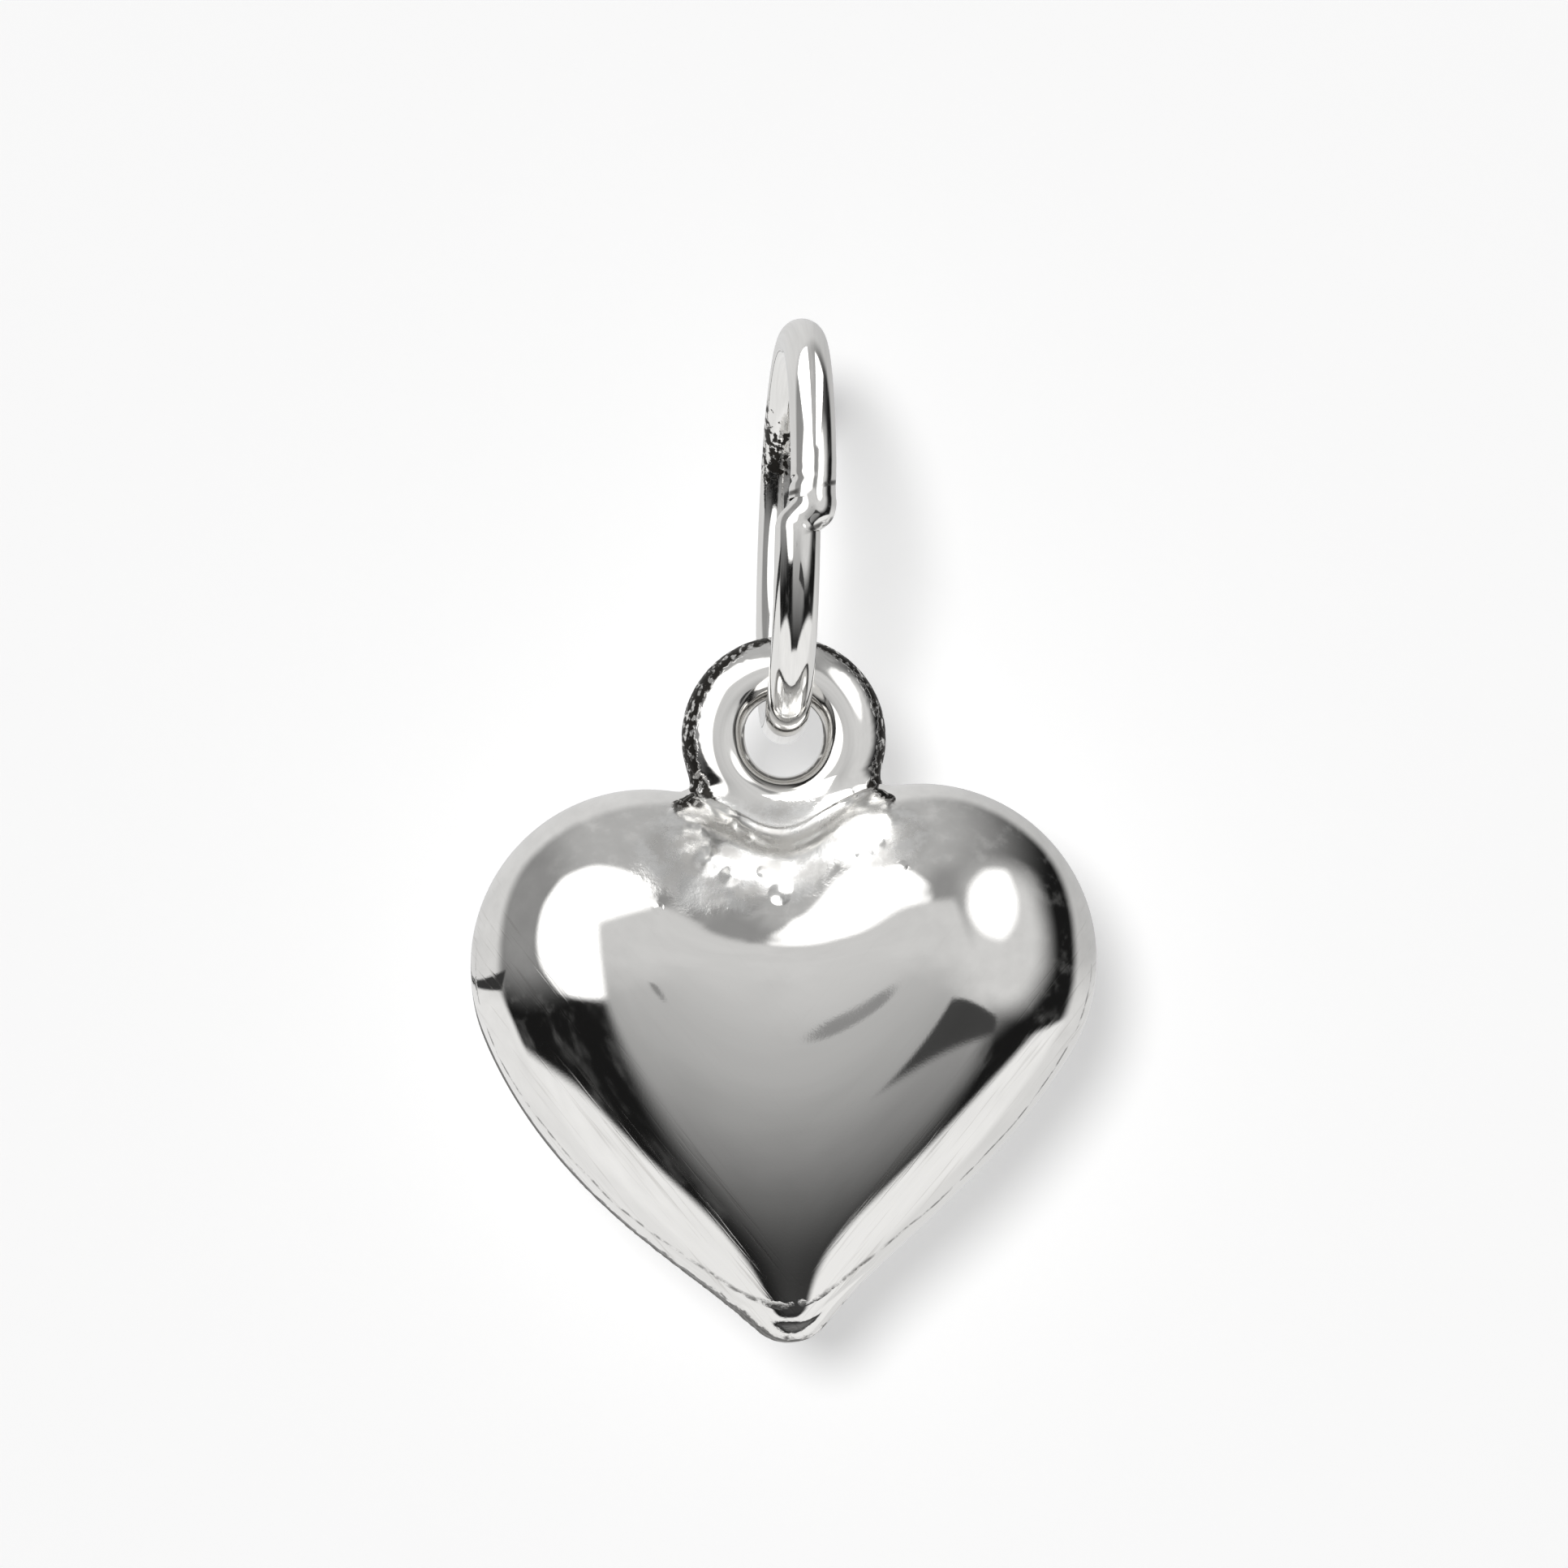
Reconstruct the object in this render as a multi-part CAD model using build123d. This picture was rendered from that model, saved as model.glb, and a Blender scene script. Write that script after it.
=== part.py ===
"""Heart pendant: a hollow puffed heart with a soldered eyelet, hanging on a wire jump ring.

Millimetres, with the ring at the top and the tip of the heart at the bottom. +Z is up, +X is to the right as
the heart is looked at, and +Y is away from whoever looks at it. The origin is the top of the ring's opening,
on the wire, where a chain or a hook carries the pendant.
"""
from build123d import *
import os
from math import cos, pi, radians, sin

import numpy as np

# Jump ring
RING_OUTER_DIAMETER = 6.88
RING_WIRE = 0.72
RING_END_OFFSET = 0.25       # sideways step between the two ends of the wire
RING_YAW = 3.85              # degrees, turns the front leg towards +X
RING_LEAN = 1.4              # degrees, leans the top towards +X
JOINT_ANGLE = 7.0            # degrees, height of the joint above the foremost point
JOINT_SPAN = 14.0            # degrees of the ring that the solder bridges
SOLDER_SWELL = 0.03          # how far the solder stands out all round the wire

# Puffed heart, seen from the front
LOBE_OFFSET = 2.21           # from the heart's middle to the centre of a lobe
LOBE_RADIUS = 2.85
TIP_RADIUS = 0.33
TIP_DROP = 5.80              # from the lobes' centres down to the centre of the rounded tip
HIP_SWELL = 0.237            # extra radius of the form below each lobe
BELLY_BOW = 0.177            # how far the lower half bows to the left of a straight line
HEART_ROLL = 1.2             # degrees, lifts the right lobe

# Puffed heart, in depth
PUFF = 0.75                  # depth of the form over its width
VALLEY_FILL = 2.9            # how far the two halves run together at the lobes: 0 leaves a sharp valley
TIP_FILL = 8.9               # the same at the tip
SHELL_WALL = 0.30

# Eyelet
EYELET_OUTER_DIAMETER = 3.30
EYELET_WIRE = 0.98
EYELET_ABOVE_TOPS = 0.78     # from the level of the lobes' tops up to the eyelet's centre
HANG_GAP = 0.05              # play between the ring's wire and the eyelet's hole

# Oval sections of the solder saddle under the eyelet, from its foot in the cleft upwards. The height is from
# the eyelet's centre, and it and the half width are shares of the eyelet's outer radius. The half depth is a
# share of its wire's radius.
SADDLE_SECTIONS = [
    # height, half_width, half_depth
    (-1.25, 0.62, 1.75),
    (-0.95, 0.72, 1.42),
    (-0.70, 0.80, 1.10),
    (-0.45, 0.84, 0.45),
]

# Grid that the heart's surface is laid through: rays from a pole in front of the belly out to the rim
POLE_DROP = 0.9              # from the lobes' centres down to the pole
POLE_REACH = 2.5             # radius that the rings round the pole start from, before they follow the outline
RAY_COUNT = 72
RAY_CROWDING = 0.75          # how far the rays crowd towards the tip, from 0 to 1
SEAM_TURN = 0.25             # where the first ray lies, as a share of the turn from the tip
STEP_COUNT = 20              # points along a ray
BALL_COUNT = 161             # balls in the row that shapes each half
HALVINGS = 40                # halvings in the search for the outline
FIT_TOLERANCE = 0.0005

# Sizes that follow
RING_MEAN_RADIUS = (RING_OUTER_DIAMETER - RING_WIRE) / 2
RING_INNER_RADIUS = RING_MEAN_RADIUS - RING_WIRE / 2
EYELET_MEAN_RADIUS = (EYELET_OUTER_DIAMETER - EYELET_WIRE) / 2
EYELET_HOLE_RADIUS = EYELET_MEAN_RADIUS - EYELET_WIRE / 2
EYELET_DROP = 2 * RING_INNER_RADIUS - HANG_GAP + EYELET_HOLE_RADIUS   # from the origin to the eyelet's centre
EYELET_ABOVE_LOBES = LOBE_RADIUS + EYELET_ABOVE_TOPS   # from the lobes' centres up to the eyelet's


def ring_point(turn):
    """Point on the ring's wire, about the ring's centre, before it yaws and leans.

    turn is in degrees from the joint, down the front leg and up the rear one. The wire steps sideways by
    RING_END_OFFSET over the whole turn.
    """
    angle = radians(turn - JOINT_ANGLE)
    return Vector(
        RING_END_OFFSET * (turn / 360 - 0.5),
        -RING_MEAN_RADIUS * cos(angle),
        -RING_MEAN_RADIUS * sin(angle),
    )


def ring_turn():
    """Yaw and lean of the ring about its centre."""
    return Rotation(0, 0, RING_YAW) * Rotation(0, RING_LEAN, 0)


def hanging_x(turn):
    """Where the wire stands to the side of the ring's centre, once the ring has yawed and leant."""
    return (ring_turn() * Location(ring_point(turn))).position.X


def ring_centre():
    """Centre of the ring, below the origin on the wire at the top of its opening."""
    return Vector(-hanging_x(270 + JOINT_ANGLE), 0, -RING_INNER_RADIUS)


def jump_ring():
    """Round wire bent into one turn of a very flat helix, with a short bar of solder across its two ends."""
    start_turn = JOINT_SPAN / 2
    bent_share = 1 - JOINT_SPAN / 360
    path = Edge.make_helix(RING_END_OFFSET, RING_END_OFFSET * bent_share, RING_MEAN_RADIUS)
    section = Plane(path.position_at(0), z_dir=path.tangent_at(0)) * Circle(RING_WIRE / 2)
    wire = Solid.sweep(section.face(), path, is_frenet=True)
    foremost = radians(start_turn - JOINT_ANGLE)
    upright = Plane(
        (ring_point(start_turn).X, 0, 0), x_dir=(0, -cos(foremost), -sin(foremost)), z_dir=(1, 0, 0)
    )
    wire = upright.location * wire

    upper_end = ring_point(360 - start_turn)
    lower_end = ring_point(start_turn)
    solder_radius = RING_WIRE / 2 + SOLDER_SWELL
    bridge = lower_end - upper_end
    solder = Plane(upper_end, z_dir=bridge) * extrude(Circle(solder_radius), bridge.length)
    for end in (upper_end, lower_end):
        solder += Location(end) * Sphere(solder_radius)
    ring = wire.fuse(*solder.solids())
    return Location(ring_centre()) * ring_turn() * ring


def ball_radius(share, wall):
    """Radius of the ball at a share of the way from a lobe to the tip, less a wall."""
    taper = LOBE_RADIUS + (TIP_RADIUS - LOBE_RADIUS) * share
    return taper + HIP_SWELL * 8 * share * (1 - share) ** 2 - wall


def row_squared(x, z, side, wall):
    """Squared height over (x, z) of the tallest ball in the row that shapes one half of the heart.

    The balls run from the lobe at share 0 to the tip at share 1. Outside all of them it is negative.
    """
    share = np.linspace(0, 1, BALL_COUNT)
    ball_x = side * LOBE_OFFSET * (1 - share) - BELLY_BOW * 4 * share * (1 - share)
    ball_z = -TIP_DROP * share
    apart = (x[..., None] - ball_x) ** 2 + (z[..., None] - ball_z) ** 2
    return (ball_radius(share, wall) ** 2 - apart).max(axis=-1)


def crest_squared(z, wall):
    """Squared height of a row's crest at a level, which the fill of the valley follows."""
    share = np.linspace(0, 1, BALL_COUNT)
    crest = (ball_radius(share, wall) ** 2 - (z[..., None] + TIP_DROP * share) ** 2).max(axis=-1)
    return np.maximum(crest, 1e-6)


def puff_squared(x, z, wall):
    """Squared height of the round form over (x, z): both rows of balls, run together in the valley.

    The higher row counts. Where the two are closer than the fill, the cube of what is missing rounds them
    into each other, so that the curve stays smooth where the fill ends.
    """
    right = row_squared(x, z, 1, wall)
    left = row_squared(x, z, -1, wall)
    share = np.clip(-z / TIP_DROP, 0, 1)
    fill = (VALLEY_FILL + (TIP_FILL - VALLEY_FILL) * share**2) * crest_squared(z, wall)
    missing = np.maximum(1 - np.abs(right - left) / fill, 0)
    return np.maximum(right, left) + missing**3 * fill / 6


def outline_reach(angle, wall):
    """Distance from the pole to the outline at each angle, by halving."""
    inside = np.zeros_like(angle)
    outside = np.full_like(angle, LOBE_OFFSET + LOBE_RADIUS + TIP_DROP)
    for _ in range(HALVINGS):
        middle = (inside + outside) / 2
        hit = puff_squared(middle * np.cos(angle), middle * np.sin(angle) - POLE_DROP, wall) > 0
        inside = np.where(hit, middle, inside)
        outside = np.where(hit, outside, middle)
    return inside


def puffed_solid(wall):
    """Closed puffed form, a wall inside the heart's skin, about the lobes' centres.

    One smooth face is laid through points in front, and its mirror image closes the form behind. Both meet
    at the rim, in the plane of the lobes' centres.
    """
    turn = np.linspace(0, 1, RAY_COUNT + 1) + SEAM_TURN
    angle = -pi / 2 + 2 * pi * turn - RAY_CROWDING * np.sin(2 * pi * turn)
    tilt = np.linspace(0, pi / 2, STEP_COUNT + 1)[:, None]
    step = np.sin(tilt)
    reach = step * (POLE_REACH + (outline_reach(angle, wall) - POLE_REACH) * step**2)
    x = reach * np.cos(angle)
    z = reach * np.sin(angle) - POLE_DROP
    height = np.sqrt(np.maximum(puff_squared(x, z, wall), 0))
    height[-1] = 0
    flatness = (PUFF * LOBE_RADIUS - wall) / (LOBE_RADIUS - wall)
    points = np.stack([x, -flatness * height, z], axis=-1)
    points[:, -1] = points[:, 0]
    front = Face.make_surface_from_array_of_points(points.tolist(), tol=FIT_TOLERANCE, min_deg=3, max_deg=6)
    return Solid(Shell([front, front.mirror(Plane.XZ)]))


def eyelet():
    """Fat round ring of wire that stands in the heart's own plane, about its centre."""
    return Rotation(90, 0, 0) * Torus(EYELET_MEAN_RADIUS, EYELET_WIRE / 2)


def saddle():
    """Solder that fills the cleft under the eyelet, lofted through its ovals, about the eyelet's centre."""
    ovals = Sketch()
    for height, half_width, half_depth in SADDLE_SECTIONS:
        oval = Ellipse(half_width * EYELET_OUTER_DIAMETER / 2, half_depth * EYELET_WIRE / 2)
        ovals += Location((0, 0, height * EYELET_OUTER_DIAMETER / 2)) * oval
    return loft(ovals.faces())


def heart_drop():
    """Hollow heart, saddle and eyelet, soldered into one piece and hung on the wire at the ring's bottom."""
    heart_place = Location((0, 0, -EYELET_ABOVE_LOBES)) * Rotation(0, -HEART_ROLL, 0)
    outside = heart_place * puffed_solid(0)
    hollow = heart_place * puffed_solid(SHELL_WALL)
    metal = outside.fuse(eyelet().solid(), saddle().solid()).cut(hollow)
    hang_x = ring_centre().X + hanging_x(90 + JOINT_ANGLE)
    return Location((hang_x, 0, -EYELET_DROP)) * metal


def main():
    os.makedirs("parts", exist_ok=True)
    export_step(jump_ring(), "parts/jump_ring.step")
    export_step(heart_drop(), "parts/heart_drop.step")


main()
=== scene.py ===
import bpy
import numpy as np
from bpy.props import FloatProperty, FloatVectorProperty, IntProperty, PointerProperty
from bpy.types import Operator, Panel, PropertyGroup
from math import cos, pi, radians, sin
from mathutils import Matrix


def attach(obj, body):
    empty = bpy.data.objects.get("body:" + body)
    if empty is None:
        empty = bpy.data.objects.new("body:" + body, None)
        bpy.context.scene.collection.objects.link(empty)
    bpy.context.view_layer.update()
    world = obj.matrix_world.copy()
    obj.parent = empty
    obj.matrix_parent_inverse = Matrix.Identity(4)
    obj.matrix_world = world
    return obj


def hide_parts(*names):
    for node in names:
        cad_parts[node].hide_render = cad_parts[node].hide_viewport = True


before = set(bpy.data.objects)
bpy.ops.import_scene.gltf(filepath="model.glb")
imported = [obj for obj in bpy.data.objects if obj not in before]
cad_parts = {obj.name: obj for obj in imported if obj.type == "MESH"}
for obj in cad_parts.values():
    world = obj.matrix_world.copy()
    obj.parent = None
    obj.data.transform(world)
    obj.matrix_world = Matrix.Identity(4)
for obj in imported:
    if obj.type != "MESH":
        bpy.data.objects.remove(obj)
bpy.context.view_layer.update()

bl_info = {
    "name": "Heart Pendant",
    "version": (1, 0, 0),
    "blender": (4, 5, 0),
    "location": "3D View > Sidebar > Heart Pendant",
    "description": "Makes a polished puffed heart with a soldered eyelet, hanging on a wire jump ring",
    "category": "Add Mesh",
}

MM = 0.001

# How the surfaces are searched and laid
BALL_SAMPLES = 49        # balls of a row among which the tallest is first looked for
BALL_STEPS = 5           # Newton steps that then refine its place
OUTLINE_HALVINGS = 30
LIFT_HALVINGS = 18
LIFT_RANGE = (-0.15 * MM, 0.45 * MM)   # lowest and highest lift of a skin into its fillet
FILLET_REACH = 1.3 * MM  # how near the other skin is where a fillet is looked for
RAY_CROWDING = 0.75      # how far the heart's rays crowd towards the tip, from 0 to 1
FIRST_TILT = 0.05        # tilt of the first ring round the pole, as a share of a quarter turn
RIM_CROWDING = 1.35      # how far the rings crowd towards the rim: 1 is not at all
JOINT_CROWDING = 0.55    # how far the jump ring's sections crowd towards its joint, from 0 to 1
JOINT_STEP = 0.48        # millimetres of wire over which the step at the joint is made
RING_TOP = 277           # degrees of the turn from the joint to the ring's top: 270 and the joint's height

# Sine waves of a ripple: turn in radians, how much finer it is than the ripple's size, shift in radians
WAVES = [
    (0.3, 1.00, 0.5), (1.4, 0.83, 2.1), (2.5, 1.21, 4.0), (3.9, 0.71, 1.3), (4.7, 1.38, 5.2),
    (5.6, 0.93, 3.3),
]

# Drops of solder that spattered on the lobes beside the eyelet: place (x, z) and radius in millimetres
SOLDER_DROPS = [
    (-2.03, -7.30, 0.12), (-1.86, -7.47, 0.17), (-1.62, -7.50, 0.17), (-1.48, -8.03, 0.25),
    (-1.13, -8.27, 0.17), (-0.335, -8.55, 0.19), (-1.13, -7.45, 0.11), (-0.83, -7.65, 0.09),
    (1.41, -7.30, 0.19), (1.21, -7.75, 0.14), (1.01, -7.88, 0.15), (1.60, -8.10, 0.10), (-2.25, -8.75, 0.08),
    (-0.62, -8.20, 0.09),
]
DROP_HEIGHT = 0.2        # height of a drop, as a share of its radius

# Zones of mottled solder round the cleft: middle (x, z), half width and half height in millimetres
SOLDER_ZONES = [(-1.30, -7.95, 1.25, 0.85), (1.10, -7.62, 0.95, 0.55), (-0.20, -7.85, 0.75, 0.75)]


def length(name, description, millimetres):
    """A length setting, given in millimetres and kept in metres."""
    return FloatProperty(
        name=name, description=description, default=millimetres * MM, unit="LENGTH", subtype="DISTANCE",
        precision=5,
    )


def angle(name, description, degrees):
    """An angle setting, given in degrees and kept in radians."""
    return FloatProperty(
        name=name, description=description, default=radians(degrees), unit="ROTATION", subtype="ANGLE"
    )


def share(name, description, default):
    """A plain number setting."""
    return FloatProperty(name=name, description=description, default=default, subtype="FACTOR")


def tint(name, description, default):
    """A colour setting."""
    return FloatVectorProperty(
        name=name, description=description, default=default, subtype="COLOR", size=3, min=0, max=1
    )


class RingSettings(PropertyGroup):
    """Sizes of the jump ring."""

    mean_radius: length("Mean radius", "From the ring's centre to the middle of its wire", 3.08)
    wire: length("Wire", "Thickness of the wire", 0.72)
    end_step: length("Step at the joint", "Sideways step between the two ends of the wire", 0.25)
    yaw: angle("Yaw", "Turns the front leg towards +X", 3.85)
    lean: angle("Lean", "Leans the top towards +X", 1.4)
    joint_height: angle("Joint height", "How far the joint lies above the foremost point", 7.0)
    joint_span: angle("Joint span", "Part of the ring that the solder bridges", 14.0)
    solder_swell: length("Solder swell", "How far the solder stands out round the wire", 0.03)
    rings: IntProperty(name="Rings", description="Sections along the wire", default=960, min=60)
    sides: IntProperty(name="Sides", description="Points round the wire", default=56, min=12)


class HeartSettings(PropertyGroup):
    """Sizes of the puffed heart."""

    lobe_offset: length("Lobe offset", "From the heart's middle to the centre of a lobe", 2.21)
    lobe_radius: length("Lobe radius", "Radius of the lobes", 2.85)
    tip_radius: length("Tip radius", "Radius of the rounded tip", 0.33)
    tip_drop: length("Tip drop", "From the lobes' centres down to the tip's centre", 5.80)
    hip_swell: length("Hip swell", "Extra radius below each lobe", 0.237)
    belly_bow: length("Belly bow", "How far the lower half bows to the left", 0.177)
    roll: angle("Roll", "Lifts the right lobe", 1.2)
    puff: share("Puff", "Depth of the form over its width", 0.75)
    valley_fill: share("Valley fill", "How far the halves run together at the lobes", 2.9)
    tip_fill: share("Tip fill", "How far the halves run together at the tip", 8.9)
    cleft_edge: share("Cleft edge", "How much less the halves run together towards the cleft", 0.30)
    cleft_top: length("Cleft edge's height", "Height over the lobes' centres where it is full", 1.6)
    pole_drop: length("Pole drop", "From the lobes' centres down to the middle of the grid", 0.9)
    pole_reach: length("Pole reach", "Radius that the grid's rings start from", 2.5)
    rays: IntProperty(name="Rays", description="Rays from the pole to the rim", default=480, min=48)
    steps: IntProperty(name="Steps", description="Steps along a ray", default=92, min=12)


class EyeletSettings(PropertyGroup):
    """Sizes of the eyelet."""

    mean_radius: length("Mean radius", "From the eyelet's centre to the middle of its wire", 1.16)
    wire: length("Wire", "Thickness of the eyelet's wire", 0.98)
    crown: length("Crown", "How far the section's crown lies inside its middle", 0.12)
    hole_fill: length("Hole's fill", "How much the metal closes the lower part of the hole", 0.05)
    above_lobes: length("Above the lobes", "From the lobes' centres up to the eyelet's centre", 3.63)
    centre_x: length("Centre, sideways", "Where the eyelet hangs to the side of the origin", -0.27484)
    centre_z: length("Centre, height", "Height of the eyelet's centre", -6.06)
    side_fillet: length("Fillet at the sides", "Width of the solder fillet on the lobes' tops", 0.35)
    cleft_fillet: length("Fillet in the cleft", "Width of the solder fillet in the cleft", 0.55)
    rings: IntProperty(name="Rings", description="Sections round the eyelet", default=360, min=36)
    sides: IntProperty(name="Sides", description="Points round the eyelet's wire", default=96, min=12)


class SilverSettings(PropertyGroup):
    """Colours and finish of the silver."""

    clean: tint("Clean silver", "Colour of the polished metal", (0.93, 0.92, 0.90))
    dulled: tint("Dulled silver", "Colour of the metal in its scratches", (0.42, 0.40, 0.37))
    # Dark tone of the heart seam's tarnish and of the ring's specks, also used for painted shade: the dark
    # band on the eyelet's outer edge, the line round its hole and the lines by the ring's bead
    tarnish_and_painted_shade: tint("Tarnish", "Colour of the dark seam, rough edge and specks", (0.045, 0.042, 0.038))
    roughness: share("Roughness", "Roughness of the polished metal", 0.045)


class StudioSettings(PropertyGroup):
    """Camera, wall, floor and light."""

    distance: length("Camera distance", "From the camera to the heart's middle plane", 105.6)
    centre_x: length("Picture centre, sideways", "What the camera looks at", -0.27)
    centre_z: length("Picture centre, height", "What the camera looks at", -6.80)
    lens: FloatProperty(name="Lens", description="Focal length in millimetres", default=150.0, unit="CAMERA")
    wall: length("Wall distance", "From the heart's middle plane back to the wall", 3.9)
    floor: length("Floor height", "Height of the floor", -22.0)
    glow: share("Paper glow", "Light that reaches the paper from all round, shadows too", 0.525)
    lamp: share("Lamp", "Strength of the soft lamp", 1.62)
    lamp_tilt: angle("Lamp's tilt", "How far the soft lamp turns up from straight down, to the wall", 79.0)
    lamp_turn: angle("Lamp's turn", "How far the soft lamp then turns about the upright", -10.0)
    lamp_width: angle("Lamp's width", "How wide the soft lamp looks, which softens its shadow", 15.0)
    paper: tint("Paper", "Colour of the wall and floor", (0.80, 0.80, 0.80))


# ---------------------------------------------------------------- meshes

def lay_mesh(name, points, faces):
    """A smooth-shaded mesh object from an array of points and a list of faces."""
    mesh = bpy.data.meshes.new(name)
    mesh.from_pydata(points.tolist(), [], faces)
    mesh.validate()
    mesh.polygons.foreach_set("use_smooth", np.ones(len(mesh.polygons), bool))
    mesh.update()
    piece = bpy.data.objects.new(name, mesh)
    bpy.context.scene.collection.objects.link(piece)
    return piece


def quad_strip(rows, columns, first=0, close_rows=False):
    """Faces of a grid of points from a first index. The columns close round, and the rows too where asked."""
    last = rows if close_rows else rows - 1
    row, column = np.meshgrid(np.arange(last), np.arange(columns), indexing="ij")
    a = row * columns + column
    b = row * columns + (column + 1) % columns
    c = (row + 1) % rows * columns + (column + 1) % columns
    d = (row + 1) % rows * columns + column
    return np.stack([a, b, c, d], axis=-1).reshape(-1, 4) + first


def turned(points, axis, turn):
    """Points turned about the Y or Z axis by the right-hand rule."""
    c, s = cos(turn), sin(turn)
    matrix = {"Y": [[c, 0, s], [0, 1, 0], [-s, 0, c]], "Z": [[c, -s, 0], [s, c, 0], [0, 0, 1]]}[axis]
    return points @ np.array(matrix).T


def unit(vectors):
    """Vectors shortened to length one."""
    return vectors / np.maximum(np.linalg.norm(vectors, axis=-1, keepdims=True), 1e-15)


def bell(x):
    """Smooth bump, one at zero and falling to nothing at about two."""
    return np.exp(-x * x)


def bell_mm(value, centre, width):
    """bell about a centre, with its width, both in millimetres."""
    return bell((value - centre * MM) / (width * MM))


def edge_ramp(value, start, end):
    """Zero at start rising smoothly to one at end."""
    t = np.clip((value - start) / (end - start), 0, 1)
    return t * t * (3 - 2 * t)


def ramp_mm(value, start, end):
    """edge_ramp between a start and an end in millimetres."""
    return edge_ramp(value, start * MM, end * MM)


# ---------------------------------------------------------------- heart form

def tallest_ball(h, x, z, side):
    """Squared height over (x, z) of the tallest ball in a row, with its slopes along x and z.

    The balls run from a lobe at share 0 to the tip at share 1. The squared height of a ball is its radius
    squared less the squared distance to its centre. The tallest ball's share is searched coarsely and then
    refined by Newton's method on the height's slope along the row. With side 0 the distance is along z alone,
    which gives the row's crest.
    """
    def terms(s):
        radius = h.lobe_radius + (h.tip_radius - h.lobe_radius) * s + h.hip_swell * 8 * s * (1 - s) ** 2
        slope = h.tip_radius - h.lobe_radius + 8 * h.hip_swell * (1 - s) * (1 - 3 * s)
        bend = 8 * h.hip_swell * (6 * s - 4)
        if side:
            across = x - side * h.lobe_offset * (1 - s) + h.belly_bow * 4 * s * (1 - s)
            across_slope = side * h.lobe_offset + 4 * h.belly_bow * (1 - 2 * s)
            across_bend = -8 * h.belly_bow
        else:
            across = across_slope = across_bend = 0 * s
        along = z + h.tip_drop * s
        height = radius**2 - across**2 - along**2
        first = 2 * radius * slope - 2 * across * across_slope - 2 * along * h.tip_drop
        second = (
            2 * slope**2 + 2 * radius * bend - 2 * across_slope**2 - 2 * across * across_bend
            - 2 * h.tip_drop**2
        )
        return height, first, second, across, along

    best = np.zeros_like(x)
    top = np.full_like(x, -np.inf)
    for s in np.linspace(0, 1, BALL_SAMPLES):
        height = terms(np.full_like(x, s))[0]
        better = height > top
        top = np.where(better, height, top)
        best = np.where(better, s, best)
    for _ in range(BALL_STEPS):
        _, first, second, _, _ = terms(best)
        best = np.clip(best - first / np.minimum(second, -1e-9), 0, 1)
    height, _, _, across, along = terms(best)
    return height, -2 * across, -2 * along


def puff_squared(h, x, z):
    """Squared height of the round form over (x, z), with its slopes along x and z.

    The taller of the two rows of balls counts. Where they are closer than the fill, the cube of what is
    missing rounds them into each other. The fill is a share of the crest's square and grows to the tip.
    """
    right, right_x, right_z = tallest_ball(h, x, z, 1)
    left, left_x, left_z = tallest_ball(h, x, z, -1)
    crest, _, crest_z = tallest_ball(h, x, z, 0)
    floor = 1e-6 * MM**2
    crest_z = np.where(crest > floor, crest_z, 0)
    crest = np.maximum(crest, floor)
    down = np.clip(-z / h.tip_drop, 0, 1)
    up = np.clip(z / h.cleft_top, 0, 1)
    less = h.valley_fill * h.cleft_edge
    more = h.tip_fill - h.valley_fill
    rate = h.valley_fill + more * down**2 - less * up * up * (3 - 2 * up)
    rate_z = more * -2 * down / h.tip_drop - less * 6 * up * (1 - up) / h.cleft_top
    fill = rate * crest
    fill_z = rate_z * crest + rate * crest_z
    apart = right - left
    way = np.where(apart > 0, 1.0, -1.0)
    missing = np.maximum(1 - np.abs(apart) / fill, 0)
    height = np.maximum(right, left) + missing**3 * fill / 6
    first = np.where(apart > 0, right_x, left_x) - missing**2 / 2 * way * (right_x - left_x)
    second = (
        np.where(apart > 0, right_z, left_z) - missing**2 / 2 * way * (right_z - left_z)
        + fill_z * (missing**3 / 6 + missing**2 * np.abs(apart) / (2 * fill))
    )
    return height, first, second


def outline_reach(h, turn):
    """Distance from the pole to the heart's outline at each angle, by halving."""
    inside = np.zeros_like(turn)
    outside = np.full_like(turn, h.lobe_offset + h.lobe_radius + h.tip_drop)
    for _ in range(OUTLINE_HALVINGS):
        middle = (inside + outside) / 2
        hit = puff_squared(h, middle * np.cos(turn), middle * np.sin(turn) - h.pole_drop)[0] > 0
        inside = np.where(hit, middle, inside)
        outside = np.where(hit, outside, middle)
    return inside


def distance_to_heart(h, points):
    """Distance out from the heart's skin, to first order: the form's value over the length of its slope."""
    local = turned(points, "Y", h.roll)
    height, first, second = puff_squared(h, local[..., 0], local[..., 2])
    value = height - (local[..., 1] / h.puff) ** 2
    slope = np.sqrt(first**2 + (2 * local[..., 1] / h.puff**2) ** 2 + second**2)
    return -value / np.maximum(slope, 1e-9)


def distance_to_eyelet(e, points):
    """Distance out from the eyelet's round wire."""
    z = points[..., 2] - e.above_lobes
    round_centre = np.hypot(points[..., 0], z) - e.mean_radius
    return np.hypot(round_centre, points[..., 1]) - e.wire / 2


def fillet_width(e, points):
    """Width of the solder fillet, wide in the cleft and narrow at the sides."""
    return e.side_fillet + (e.cleft_fillet - e.side_fillet) * bell_mm(points[..., 0], 0, 0.9)


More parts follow.
